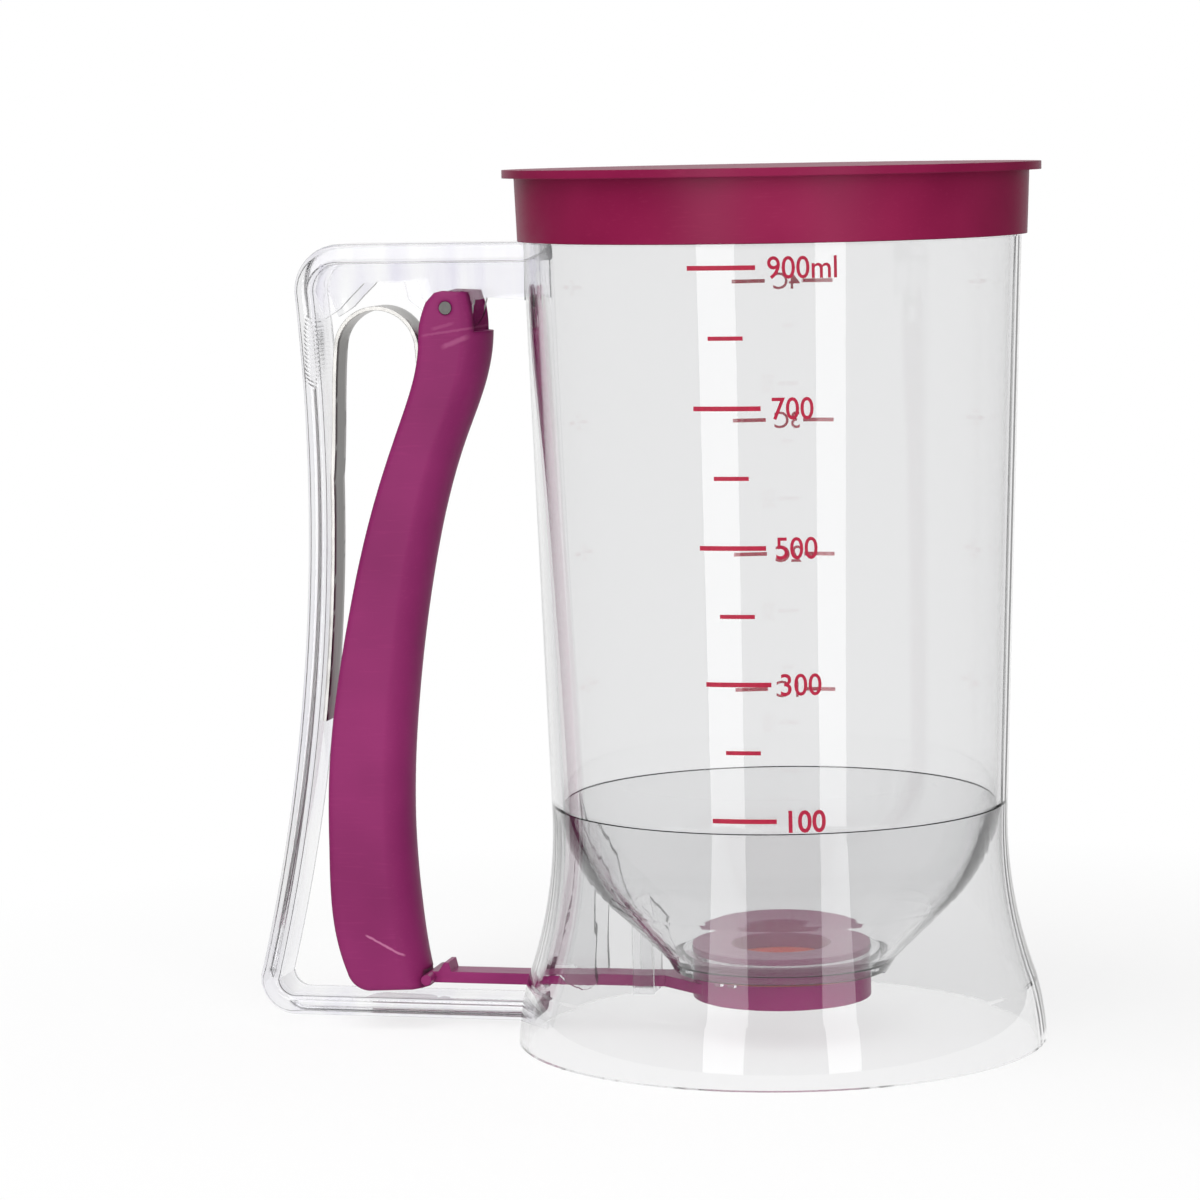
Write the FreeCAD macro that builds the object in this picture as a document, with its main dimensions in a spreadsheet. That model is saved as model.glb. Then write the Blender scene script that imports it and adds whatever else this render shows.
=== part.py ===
import FreeCAD, Part
import Sketcher
import math
import os

# Pancake batter dispenser: a clear tapered jug over a funnel, with a push-on lid, a valve
# slide under the outlet and a spring-loaded trigger hung inside a closed clear handle.
# Frame: origin on the jug's axis at the plane it stands on, +Z up, the handle towards -X.
# The pose drawn is the trigger squeezed, with the valve's hole under the outlet.

SIZES = {
    # lid
    "lid_top_z": 185.0,
    "rim_proud": 4.2,
    "lid_plate": 1.7,
    "skirt_proud": 1.2,
    "lid_skirt_drop": 13.2,
    "lid_wall": 1.4,
    "lid_draft": 0.5,
    "plug_drop": 13.4,
    "plug_wall": 1.5,
    "lid_gap": 0.35,
    # jug wall
    "waist_z": 51.0,
    "waist_r": 48.4,
    "taper_out": 3.8,
    "jug_wall": 2.3,
    "shoulder_gap": 0.4,
    "trim_over": 20.0,
    # funnel bowl
    "bowl_wall": 2.2,
    "cone_inset": 11.9,
    "collar_step": 1.5,
    "bowl_curve": 37.3,
    "bowl_curve_in": 40.6,
    "collar_top_z": 17.0,
    # outlet collar, ring and seal
    "collar_proud": 4.1,
    "collar_low_z": 14.6,
    "ring_r": 19.0,
    "ring_hole_r": 10.7,
    "ring_top_z": 20.5,
    "part_gap": 0.3,
    "spigot_wall": 1.9,
    "spigot_rise": 2.3,
    "lip_width": 1.7,
    "lip_thick": 0.8,
    "seal_bore_r": 6.0,
    "seal_top_z": 17.4,
    "seal_low_z": 14.0,
    "step_inset": 5.0,
    "lug_width": 1.7,
    "lug_drop": 0.8,
    "lug_thick": 1.1,
    "lug_sink": 0.4,
    "lug_inset": 0.5,
    "lug_spread": 8.4,
    "lug_first": -112.0,
    "lug_step": 114.0,
    # base skirt
    "foot_spread": 7.9,
    "flare_spread": 5.9,
    "flare_z": 12.8,
    "flare_curve": 98.0,
    "foot_curve": 60.0,
    "skirt_wall": 2.0,
    "split_inset": 1.2,
    # handle frame
    "handle_width": 14.0,
    "bar_thick": 4.2,
    "handle_drop": 15.2,
    "handle_low_z": 2.6,
    "handle_reach": 50.6,
    "heel_reach": 58.1,
    "handle_corner": 10.0,
    "handle_heel": 8.0,
    "handle_bow": 6.5,
    "arm_bury": 1.0,
    "foot_bury": 2.0,
    "bar_round": 1.2,
    "web_thick": 1.4,
    "web_gap": 4.7,
    "web_play": 1.2,
    "ear_r": 5.4,
    "ear_step": 2.0,
    "web_rise": 1.7,
    "web_deep": 3.9,
    # pivot
    "pivot_reach": 16.8,
    "pivot_drop": 13.7,
    "pin_r": 1.35,
    "pin_gap": 0.06,
    "pin_proud": 0.2,
    # trigger
    "trigger_width": 16.0,
    "trigger_wall": 1.5,
    "trigger_face": 1.8,
    "trigger_foot_z": 8.5,
    "trigger_depth": 17.2,
    "trigger_crown": 5.5,
    "trigger_round": 1.2,
    "head_rise": 3.6,
    "head_slot": 5.2,
    "rod_roof": 2.0,
    # valve slide
    "rod_width": 6.5,
    "rod_thick": 2.4,
    "rod_low_z": 9.9,
    "rod_lap": 6.0,
    "rod_play": 0.4,
    "crossbar_reach": 20.4,
    "notch_deep": 1.6,
    "trunnion_r": 1.15,
    "trunnion_length": 15.0,
    "wedge_back": 1.4,
    "wedge_length": 3.2,
    "wedge_rise": 2.0,
    "wedge_sink": 0.4,
    "disc_r": 19.0,
    "disc_low_z": 8.5,
    "disc_top_z": 13.7,
    "fan_half": 14.0,
    "fan_join_x": 12.0,
    "hole_over": 2.0,
    # guides in the skirt
    "slot_half": 4.6,
    "slot_top_z": 14.8,
    "slot_low_z": 8.0,
    "slot_over": 5.0,
    "rib_gap": 5.3,
    "rib_thick": 1.4,
    "rib_inset": 9.0,
    "rib_dip_z": 9.4,
    "rib_step": 3.2,
    "rib_bury": 1.0,
    "clip_reach": 6.4,
    "clip_length": 4.4,
    "clip_wall": 1.2,
    # spring
    "spring_width": 8.4,
    "spring_thick": 0.9,
    "spring_low_z": 66.0,
    "arch_drop": 9.1,
    "arch_r": 9.0,
    "arch_reach": 16.5,
    "leg_tip_z": 121.0,
    "leg_tip_gap": 4.7,
    "spring_touch_z": 119.0,
    "spring_seat": 0.2,
}
# Sizes that follow from others, so that the pieces keep together.
TIES = {
    "mouth_r": "waist_r + taper_out",
    "lid_skirt_r": "mouth_r + skirt_proud",
    "lid_rim_r": "mouth_r + rim_proud",
    "collar_r": "ring_r + collar_proud",
    "cone_top_r": "waist_r - cone_inset",
    "cone_top_z": "collar_top_z + cone_top_r - collar_r - collar_step",
    "skirt_split_r": "waist_r - split_inset",
    "base_r": "waist_r + foot_spread",
    "flare_r": "waist_r + flare_spread",
    "handle_top_z": "lid_top_z - handle_drop",
    "handle_top_x": "mouth_r + handle_reach",
    "handle_low_x": "base_r + heel_reach",
    "pivot_x": "mouth_r + pivot_reach",
    "pivot_z": "handle_top_z - pivot_drop",
    "web_low_z": "pivot_z + web_rise",
    "web_mid_z": "handle_top_z - bar_thick - web_deep",
    "trunnion_x": "base_r + crossbar_reach",
    "notch_x": "trunnion_x + notch_deep",
    "wedge_x": "trunnion_x - wedge_back",
    "rod_inner_x": "ring_r + rod_lap",
    "disc_hole_r": "seal_bore_r",
    "seal_step_r": "ring_r - step_inset",
    "rib_inner_x": "waist_r - rib_inset",
    "clip_x": "collar_r + clip_reach",
    "arch_x": "pivot_x + arch_reach",
    "arch_z": "pivot_z - arch_drop",
}

doc = FreeCAD.newDocument("batter_dispenser")
sheet = doc.addObject("Spreadsheet::Sheet", "Sizes")
for row, (name, value) in enumerate(list(SIZES.items()) + list(TIES.items()), start=1):
    sheet.set("A%d" % row, name)
    sheet.setAlias("B%d" % row, name)
    sheet.set("B%d" % row, "=" + value if name in TIES else repr(value))
doc.recompute()


class Dim:
    """A size that knows both its value and the expression that binds to the sheet."""

    def __init__(self, value, text):
        self.value = value
        self.text = text

    def _join(self, other, sign, value, swap=False):
        text = other.text if isinstance(other, Dim) else repr(float(other))
        pair = (text, self.text) if swap else (self.text, text)
        return Dim(value, "(%s %s %s)" % (pair[0], sign, pair[1]))

    def __add__(self, other):
        return self._join(other, "+", self.value + plain(other))

    def __radd__(self, other):
        return self._join(other, "+", plain(other) + self.value, True)

    def __sub__(self, other):
        return self._join(other, "-", self.value - plain(other))

    def __rsub__(self, other):
        return self._join(other, "-", plain(other) - self.value, True)

    def __mul__(self, other):
        return self._join(other, "*", self.value * plain(other))

    def __rmul__(self, other):
        return self._join(other, "*", plain(other) * self.value, True)

    def __truediv__(self, other):
        return self._join(other, "/", self.value / plain(other))

    def __neg__(self):
        return Dim(-self.value, "(0 - %s)" % self.text)


def plain(value):
    return value.value if isinstance(value, Dim) else float(value)


def size(name):
    return Dim(float(sheet.get(name)), "Sizes." + name)


def number(name):
    return float(sheet.get(name))


parts = []


def keep(obj, label):
    """Label a finished sub-part, which also names its file."""
    obj.Label = label
    parts.append(obj)
    return obj


def origin_plane(body, role):
    for feature in body.Origin.OriginFeatures:
        if feature.Role == role:
            return feature
    raise RuntimeError("no plane " + role)


def outline_sketch(body, name, plane, points):
    """A closed outline whose corners are pinned to expressions.

    A corner is (x, y); a third item gives the radius of an arc that arrives at the corner,
    positive when the arc's middle lies to the left of its chord.
    """
    sketch = body.newObject("Sketcher::SketchObject", name)
    sketch.AttachmentSupport = [(origin_plane(body, plane), "")]
    sketch.MapMode = "FlatFace"
    count = len(points)
    ends = []
    for i in range(count):
        start = points[i]
        finish = points[(i + 1) % count]
        p = FreeCAD.Vector(plain(start[0]), plain(start[1]), 0)
        q = FreeCAD.Vector(plain(finish[0]), plain(finish[1]), 0)
        if len(finish) > 2:
            radius = abs(plain(finish[2]))
            side = math.copysign(1.0, plain(finish[2]))
            chord = q - p
            half = chord.Length / 2
            normal = FreeCAD.Vector(-chord.y, chord.x, 0).normalize() * side
            centre = (p + q) * 0.5 - normal * math.sqrt(radius ** 2 - half ** 2)
            first, last = (q, p) if side > 0 else (p, q)
            turn_a = math.atan2(first.y - centre.y, first.x - centre.x)
            turn_b = math.atan2(last.y - centre.y, last.x - centre.x)
            circle = Part.Circle(centre, FreeCAD.Vector(0, 0, 1), radius)
            index = sketch.addGeometry(Part.ArcOfCircle(circle, turn_a, turn_b), False)
            ends.append((index, 2, 1) if side > 0 else (index, 1, 2))
        else:
            index = sketch.addGeometry(Part.LineSegment(p, q), False)
            ends.append((index, 1, 2))
    for i in range(count):
        following = ends[(i + 1) % count]
        meet = Sketcher.Constraint("Coincident", ends[i][0], ends[i][2], following[0], following[1])
        sketch.addConstraint(meet)
    for i in range(count):
        for kind, item in (("DistanceX", 0), ("DistanceY", 1)):
            value = points[i][item]
            pin = Sketcher.Constraint(kind, -1, 1, ends[i][0], ends[i][1], plain(value))
            index = sketch.addConstraint(pin)
            if isinstance(value, Dim):
                sketch.setExpression("Constraints[%d]" % index, value.text)
    for i in range(count):
        finish = points[(i + 1) % count]
        if len(finish) > 2:
            radius = finish[2]
            bend = Sketcher.Constraint("Radius", ends[i][0], abs(plain(radius)))
            index = sketch.addConstraint(bend)
            if isinstance(radius, Dim):
                text = radius.text if radius.value > 0 else "(0 - %s)" % radius.text
                sketch.setExpression("Constraints[%d]" % index, text)
    return sketch


def turned(name, points):
    """A body of revolution about +Z from an outline of (radius, height) corners."""
    body = doc.addObject("PartDesign::Body", name)
    sketch = outline_sketch(body, name + "_outline", "XZ_Plane", points)
    turn = body.newObject("PartDesign::Revolution", name + "_turn")
    turn.Profile = sketch
    turn.ReferenceAxis = (sketch, ["V_Axis"])
    turn.Angle = 360.0
    doc.recompute()
    return body


def plate(name, points, thickness, offset=0.0, plane="XZ_Plane"):
    """A flat plate from an outline, centred on its plane and moved across it by the offset."""
    body = doc.addObject("PartDesign::Body", name)
    sketch = outline_sketch(body, name + "_outline", plane, points)
    pad = body.newObject("PartDesign::Pad", name + "_pad")
    pad.Profile = sketch
    pad.SideType = "Symmetric"
    pad.Length = plain(thickness)
    if isinstance(thickness, Dim):
        pad.setExpression("Length", thickness.text)
    place_body(body, plane, offset)
    doc.recompute()
    return body


def place_body(body, plane, offset):
    axis = "z" if plane == "XY_Plane" else "y"
    base = FreeCAD.Vector(0, 0, plain(offset)) if axis == "z" else FreeCAD.Vector(0, plain(offset), 0)
    body.Placement = FreeCAD.Placement(base, FreeCAD.Rotation())
    if isinstance(offset, Dim):
        body.setExpression("Placement.Base." + axis, offset.text)


def block(name, low, high):
    """A box between two corners, each bound to the sheet."""
    box = doc.addObject("Part::Box", name)
    for prop, a, b in zip(("Length", "Width", "Height"), low, high):
        span = b - a
        setattr(box, prop, plain(span))
        if isinstance(span, Dim):
            box.setExpression(prop, span.text)
    box.Placement = FreeCAD.Placement(FreeCAD.Vector(*[plain(v) for v in low]), FreeCAD.Rotation())
    for axis, a in zip("xyz", low):
        if isinstance(a, Dim):
            box.setExpression("Placement.Base." + axis, a.text)
    return box


def rod_along(name, direction, radius, length, centre):
    """A cylinder of the given length centred on a point, along +Y or +Z."""
    rod = doc.addObject("Part::Cylinder", name)
    rod.Radius = plain(radius)
    rod.Height = plain(length)
    if isinstance(radius, Dim):
        rod.setExpression("Radius", radius.text)
    if isinstance(length, Dim):
        rod.setExpression("Height", length.text)
    turn = FreeCAD.Rotation(FreeCAD.Vector(1, 0, 0), -90.0 if direction == "y" else 0.0)
    start = list(centre)
    slot = 1 if direction == "y" else 2
    start[slot] = start[slot] - length * 0.5
    rod.Placement = FreeCAD.Placement(FreeCAD.Vector(*[plain(v) for v in start]), turn)
    for axis, value in zip("xyz", start):
        if isinstance(value, Dim):
            rod.setExpression("Placement.Base." + axis, value.text)
    return rod


def cut(name, base, *tools):
    for i, tool in enumerate(tools):
        step = doc.addObject("Part::Cut", name + "_cut%d" % (i + 1))
        step.Base = base
        step.Tool = tool
        base = step
    doc.recompute()
    return base


def fused(name, *shapes):
    joined = doc.addObject("Part::MultiFuse", name + "_join")
    joined.Shapes = list(shapes)
    joined.Refine = True
    doc.recompute()
    return joined


def solid_feature(name, shape):
    feature = doc.addObject("Part::Feature", name)
    feature.Shape = shape
    feature.Placement = FreeCAD.Placement()
    return feature


# Lid: a flat plate with an overhanging rim, a skirt outside the jug's neck and a plug inside it.
def build_lid():
    top = size("lid_top_z")
    under = top - size("lid_plate")
    skirt_low = under - size("lid_skirt_drop")
    inner = size("lid_skirt_r") - size("lid_wall")
    cap = turned("lid_cap", [
        (0, under), (inner, under), (inner, skirt_low), (size("lid_skirt_r"), skirt_low),
        (size("lid_skirt_r") + size("lid_draft"), under), (size("lid_rim_r"), under),
        (size("lid_rim_r"), top), (0, top)])
    keep(cap, "lid_cap")
    plug_r = size("mouth_r") - size("jug_wall") - size("lid_gap")
    plug_low = under - size("plug_drop")
    plug = turned("lid_plug", [
        (plug_r - size("plug_wall"), plug_low), (plug_r, plug_low), (plug_r, under),
        (plug_r - size("plug_wall"), under)])
    keep(plug, "lid_plug")


def jug_shoulder():
    """The height of the jug's shoulder, just under the lid's skirt."""
    return size("lid_top_z") - size("lid_plate") - size("lid_skirt_drop") - size("shoulder_gap")


def jug_core():
    """The cone inside the jug's outer face, carried on upwards, which trims what meets the wall."""
    low = number("waist_z")
    rise = plain(jug_shoulder()) - low
    slope = (number("mouth_r") - number("waist_r")) / rise
    over = number("trim_over")
    return Part.makeCone(number("waist_r"), number("mouth_r") + slope * over, rise + over,
                         FreeCAD.Vector(0, 0, low))


# Jug wall: a tapered tube with a stepped neck that the lid's skirt goes over.
def build_jug_wall():
    under = size("lid_top_z") - size("lid_plate")
    shoulder = jug_shoulder()
    bore_top = size("mouth_r") - size("jug_wall")
    neck = size("lid_skirt_r") - size("lid_wall") - size("lid_gap")
    keep(turned("jug_wall", [
        (size("waist_r") - size("jug_wall"), size("waist_z")), (size("waist_r"), size("waist_z")),
        (size("mouth_r"), shoulder), (neck, shoulder), (neck, under), (bore_top, under),
        (bore_top, shoulder)]), "jug_wall")


def cone_run():
    """How far the funnel's 45 degree wall reaches sideways through its own thickness."""
    return size("bowl_wall") * math.sqrt(2)


# Funnel bowl: a curved wall that runs into a 45 degree cone and ends on the outlet collar.
def build_bowl():
    low = size("collar_top_z")
    top_r = size("cone_top_r")
    top_z = size("cone_top_z")
    low_r = top_r - (top_z - low)
    shift = size("bowl_wall") * math.sqrt(0.5)
    keep(turned("funnel_bowl", [
        (low_r, low),
        (top_r, top_z),
        (size("skirt_split_r"), size("waist_z"), -size("bowl_curve")),
        (size("waist_r") - size("jug_wall"), size("waist_z")),
        (top_r - shift, top_z + shift, size("bowl_curve_in")),
        (low_r - cone_run(), low)]), "funnel_bowl")


# Base skirt: flares from the waist to the foot, with a slot for the valve rod under the handle.
def build_skirt():
    wall = size("skirt_wall")
    skirt = turned("base_skirt_shell", [
        (size("skirt_split_r"), size("waist_z")),
        (size("flare_r") - wall, size("flare_z"), -size("flare_curve")),
        (size("base_r") - wall, 0, size("foot_curve")),
        (size("base_r"), 0),
        (size("flare_r"), size("flare_z"), -size("foot_curve")),
        (size("waist_r"), size("waist_z"), size("flare_curve"))])
    slot = block("rod_slot", (-size("base_r") - size("slot_over"), -size("slot_half"), size("slot_low_z")),
                 (-size("rib_inner_x"), size("slot_half"), size("slot_top_z")))
    keep(cut("base_skirt", skirt, slot), "base_skirt")


# Outlet collar: a flange under the cone, a spigot inside it, a lip that carries the ring, and lugs.
def build_collar():
    seat = size("ring_r") + size("part_gap")
    top = size("collar_top_z")
    low = size("collar_low_z")
    low_r = size("cone_top_r") - (size("cone_top_z") - top)
    spigot = seat + size("spigot_wall")
    ring = turned("outlet_collar_ring", [
        (seat - size("lip_width"), low), (size("collar_r"), low), (low_r, top), (spigot, top),
        (spigot, top + size("spigot_rise")), (seat, top + size("spigot_rise")),
        (seat, low + size("lip_thick")), (seat - size("lip_width"), low + size("lip_thick"))])
    lugs = []
    thick = number("lug_thick")
    for group in range(3):
        for side in (-0.5, 0.5):
            angle = number("lug_first") + group * number("lug_step") + side * number("lug_spread")
            lug = Part.makeBox(thick, number("lug_width"), number("lug_drop") + number("lug_sink"))
            lug.translate(FreeCAD.Vector(number("collar_r") - thick - number("lug_inset"),
                                         -number("lug_width") / 2,
                                         number("collar_low_z") - number("lug_drop")))
            lug.rotate(FreeCAD.Vector(), FreeCAD.Vector(0, 0, 1), angle)
            lugs.append(lug)
    whole = ring.Shape.multiFuse(lugs).removeSplitter()
    keep(solid_feature("outlet_collar", whole), "outlet_collar")


# Outlet ring and its seal: the ring drops into the collar, the seal is carried under its bore.
def build_outlet():
    ring_low = size("collar_low_z") + size("lip_thick")
    gap = size("part_gap") * 0.5
    keep(turned("outlet_ring", [
        (size("ring_hole_r"), size("seal_top_z")), (size("seal_step_r"), size("seal_top_z")),
        (size("seal_step_r"), ring_low), (size("ring_r"), ring_low),
        (size("ring_r"), size("ring_top_z")), (size("ring_hole_r"), size("ring_top_z"))]), "outlet_ring")
    seal_r = size("ring_r") + size("part_gap") - size("lip_width") - gap
    keep(turned("outlet_seal", [
        (size("seal_bore_r"), size("seal_low_z")), (seal_r, size("seal_low_z")), (seal_r, ring_low),
        (size("seal_step_r") - gap, ring_low), (size("seal_step_r") - gap, size("seal_top_z")),
        (size("seal_bore_r"), size("seal_top_z"))]), "outlet_seal")


# Handle loop: outer corners shared by the top arm, the bowed back and the bottom arm.
def arc_points(x0, z0, x1, z1, bow):
    """The end points and bowed middle of an arc in the XZ plane."""
    dx, dz = x1 - x0, z1 - z0
    length = math.hypot(dx, dz)
    mx = (x0 + x1) / 2 - dz / length * bow
    mz = (z0 + z1) / 2 + dx / length * bow
    return FreeCAD.Vector(x0, 0, z0), FreeCAD.Vector(mx, 0, mz), FreeCAD.Vector(x1, 0, z1)


def bar_wall(edges, width):
    """Extrude a closed XZ outline evenly to both sides of the XZ plane."""
    face = Part.Face(Part.Wire(edges))
    face.translate(FreeCAD.Vector(0, -width / 2, 0))
    return face.extrude(FreeCAD.Vector(0, width, 0))


def handle_back_curve(inset):
    """The arc of the handle's back, moved inwards by the inset."""
    top = number("handle_top_z") - number("handle_corner")
    low = number("handle_low_z") + number("handle_heel")
    return arc_points(-number("handle_low_x") + inset, low, -number("handle_top_x") + inset, top,
                      -number("handle_bow"))


def line(x0, z0, x1, z1):
    return Part.makeLine(FreeCAD.Vector(x0, 0, z0), FreeCAD.Vector(x1, 0, z1))


def corner(cx, cz, radius, start, finish):
    """An arc about a centre between two angles in degrees, measured from +X towards +Z."""
    def at(angle):
        turn = math.radians(angle)
        return FreeCAD.Vector(cx + radius * math.cos(turn), 0, cz + radius * math.sin(turn))
    return Part.Arc(at(start), at((start + finish) / 2), at(finish)).toShape()


def rounded(solid, radius, keep_edge):
    edges = [edge for edge in solid.Edges if keep_edge(edge)]
    return solid.makeFillet(radius, edges)


def long_side_edge(width):
    """Picks the edges that run round the loop at both sides of a bar."""
    def test(edge):
        box = edge.BoundBox
        flat = box.YLength < 1e-6 and abs(abs(box.YMin) - width / 2) < 1e-6
        return flat
    return test


def build_handle():
    bar = number("bar_thick")
    width = number("handle_width")
    top = number("handle_top_z")
    low = number("handle_low_z")
    rc = number("handle_corner")
    rh = number("handle_heel")
    xt = -number("handle_top_x")
    xl = -number("handle_low_x")
    start, middle, finish = handle_back_curve(0.0)
    start_in, middle_in, finish_in = handle_back_curve(bar)
    round_r = min(number("bar_round"), bar * 0.4)
    side = long_side_edge(width)
    # the arms run into the jug wall and the skirt, and are trimmed to their outer faces
    reach = number("waist_r") - number("arm_bury")
    arm = [line(xt + rc, top, -reach, top), line(-reach, top, -reach, top - bar),
           line(-reach, top - bar, xt + rc, top - bar),
           corner(xt + rc, top - rc, rc - bar, 90, 180),
           line(xt + bar, top - rc, xt, top - rc), corner(xt + rc, top - rc, rc, 180, 90)]
    solid = rounded(bar_wall(arm, width), round_r, lambda e: side(e) and not near_end(e, -reach))
    keep(solid_feature("handle_top_arm", solid.cut(jug_core())), "handle_top_arm")
    back = [Part.Arc(start, middle, finish).toShape(),
            Part.makeLine(finish, finish_in),
            Part.Arc(finish_in, middle_in, start_in).toShape(),
            Part.makeLine(start_in, start)]
    solid = rounded(bar_wall(back, width), round_r, lambda e: side(e) and e.Length > bar * 2)
    keep(solid_feature("handle_back", solid), "handle_back")
    foot_reach = number("flare_r") - number("foot_bury")
    foot = [line(xl + rh, low, -foot_reach, low), line(-foot_reach, low, -foot_reach, low + bar),
            line(-foot_reach, low + bar, xl + rh, low + bar),
            corner(xl + rh, low + rh, rh - bar, 270, 180),
            line(xl + bar, low + rh, xl, low + rh), corner(xl + rh, low + rh, rh, 180, 270)]
    solid = rounded(bar_wall(foot, width), round_r, lambda e: side(e) and not near_end(e, -foot_reach))
    keep(solid_feature("handle_bottom_arm", solid.cut(skirt_core())), "handle_bottom_arm")


def near_end(edge, x):
    """True for the short edge at an arm's trimmed end and the short edge at its joint."""
    box = edge.BoundBox
    flat_end = box.XLength < 1e-6
    at_joint = box.ZLength < 1e-6 and box.XMax < x - number("handle_width")
    return flat_end or (at_joint and edge.Length < number("bar_thick") * 1.5)


def skirt_core():
    """The solid inside the skirt's outer face, used to trim what meets the skirt."""
    outer = doc.getObject("base_skirt_shell").Shape
    half_wall = number("skirt_wall") / 2
    tube = Part.makeCylinder(number("skirt_split_r") - half_wall / 2, number("waist_z"))
    inner = Part.makeCone(number("base_r") - half_wall, number("flare_r") - half_wall, number("flare_z"))
    return outer.fuse(tube).fuse(inner)


def pin_bore():
    """The running bore for the trigger's pin."""
    width = number("trigger_width") + number("trim_over")
    return Part.makeCylinder(number("pin_r") + number("pin_gap"), width,
                             FreeCAD.Vector(-number("pivot_x"), -width / 2, number("pivot_z")),
                             FreeCAD.Vector(0, 1, 0))


# Handle webs: thin plates under the top arm that carry the pin and pass over the spring's arch.
def build_webs():
    top = number("handle_top_z") - number("bar_thick") + number("arm_bury")
    px, pz, ear = -number("pivot_x"), number("pivot_z"), number("ear_r")
    low = number("web_low_z")
    over_arch = number("arch_z") + number("arch_r") + number("spring_thick") + number("web_play")
    mid = max(number("web_mid_z"), over_arch)
    left = -number("handle_top_x") + number("bar_thick") + number("web_play")
    ear_left = px - ear - number("ear_step")
    jug_side = -number("waist_r")
    edges = [line(left, top, jug_side, top),
             line(jug_side, top, jug_side, low),
             line(jug_side, low, px + ear, low),
             line(px + ear, low, px + ear, pz),
             corner(px, pz, ear, 0, -180),
             line(px - ear, pz, ear_left, low),
             line(ear_left, low, ear_left, mid),
             line(ear_left, mid, left, mid),
             line(left, mid, left, top)]
    thick = number("web_thick")
    arm = doc.getObject("handle_top_arm").Shape
    for label, side in (("handle_web_near", -1), ("handle_web_far", 1)):
        web = Part.Face(Part.Wire(edges))
        web.translate(FreeCAD.Vector(0, side * (number("web_gap") + thick / 2) - thick / 2, 0))
        web = web.extrude(FreeCAD.Vector(0, thick, 0))
        keep(solid_feature(label, web.cut(arm).cut(jug_core()).cut(pin_bore())), label)


# Trigger pin: a plain steel pin through both webs and both trigger walls.
def build_pin():
    length = size("trigger_width") + size("pin_proud") * 2
    pin = rod_along("trigger_pin", "y", size("pin_r"), length,
                    (-size("pivot_x"), Dim(0.0, "0"), size("pivot_z")))
    keep(pin, "trigger_pin")


# Trigger: a long curved channel, open towards the handle's back, notched for the rod's end.
# An edge point is its share of the way up from the foot to the pin, and how far it stands
# behind the straight line from the rod's crossbar to the pin, in depths of the lever.
BACK_EDGE = [
    (0.0264, 1.0409), (0.0915, 1.2212), (0.1999, 1.3162), (0.3083, 1.3473), (0.4234, 1.2942),
    (0.5386, 1.1655), (0.6402, 1.0134), (0.7419, 0.8030), (0.8367, 0.5490), (0.9112, 0.3731),
    (0.9478, 0.3458), (0.9736, 0.3428), (0.9925, 0.3106), (1.0081, 0.2653)]
FRONT_EDGE = [
    (1.0068, -0.4388), (0.9688, -0.4907), (0.9248, -0.4755), (0.8774, -0.3863), (0.8096, -0.1899),
    (0.7215, 0.0149), (0.6199, 0.1671), (0.4844, 0.2924), (0.3489, 0.3481), (0.2270, 0.3167),
    (0.1118, 0.1954), (0.0508, 0.0983)]
# The front's run on past both ends of its edge.
FRONT_OVER = [(1.0806, -0.3360)]
FRONT_UNDER = [(0.0136, 0.0177), (-0.0373, -0.0690)]
# The head's upper corners, in depths across from the pin and down from the head's top.
HEAD_CORNERS = [(-0.151, 0.023), (-0.058, 0.000), (0.390, 0.023)]
# The foot's lower corners, in depths behind the crossbar and up from the foot's underside.
TOE_CORNERS = [(-0.029, 0.116), (0.017, 0.035)]
HEEL_CORNERS = [(0.686, 0.000), (0.924, 0.064)]
# How far the front's rounding turns at the lever's sides, in degrees, and its steps a side.
CROWN_TURN = 72.0
CROWN_STEPS = 6


def trigger_places(points, shift):
    """The table's points in the XZ plane, moved along X by the shift."""
    pivot, crossbar = number("pivot_x"), number("trunnion_x")
    foot, rise = number("trigger_foot_z"), number("pivot_z") - number("trigger_foot_z")
    places = []
    for share, behind in points:
        along = pivot + (crossbar - pivot) * (1 - share) + behind * number("trigger_depth")
        places.append(FreeCAD.Vector(shift - along, 0, foot + share * rise))
    return places


def trigger_curve(points, shift):
    """A smooth edge through the table's points, with its two ends."""
    places = trigger_places(points, shift)
    curve = Part.BSplineCurve()
    curve.interpolate(places)
    return curve.toShape(), places[0], places[-1]


def crown_cutter(shift, half):
    """All that lies in front of the lever's rounded front, for a lever of this half width."""
    most = math.radians(CROWN_TURN)
    grid = []
    for place in trigger_places(FRONT_OVER + FRONT_EDGE + FRONT_UNDER, shift):
        row = []
        for step in range(-CROWN_STEPS, CROWN_STEPS + 1):
            turn = most * step / CROWN_STEPS
            across = half * math.sin(turn) / math.sin(most)
            back = number("trigger_crown") * (1 - math.cos(turn)) / (1 - math.cos(most))
            row.append(place + FreeCAD.Vector(-back, across, 0))
        grid.append(row)
    front = Part.BSplineSurface()
    front.interpolate(grid)
    return front.toShape().extrude(FreeCAD.Vector(number("trim_over") * 2, 0, 0))


def foot_corner(item):
    depth = number("trigger_depth")
    return FreeCAD.Vector(-number("trunnion_x") - item[0] * depth, 0,
                          number("trigger_foot_z") + item[1] * depth)


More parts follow.
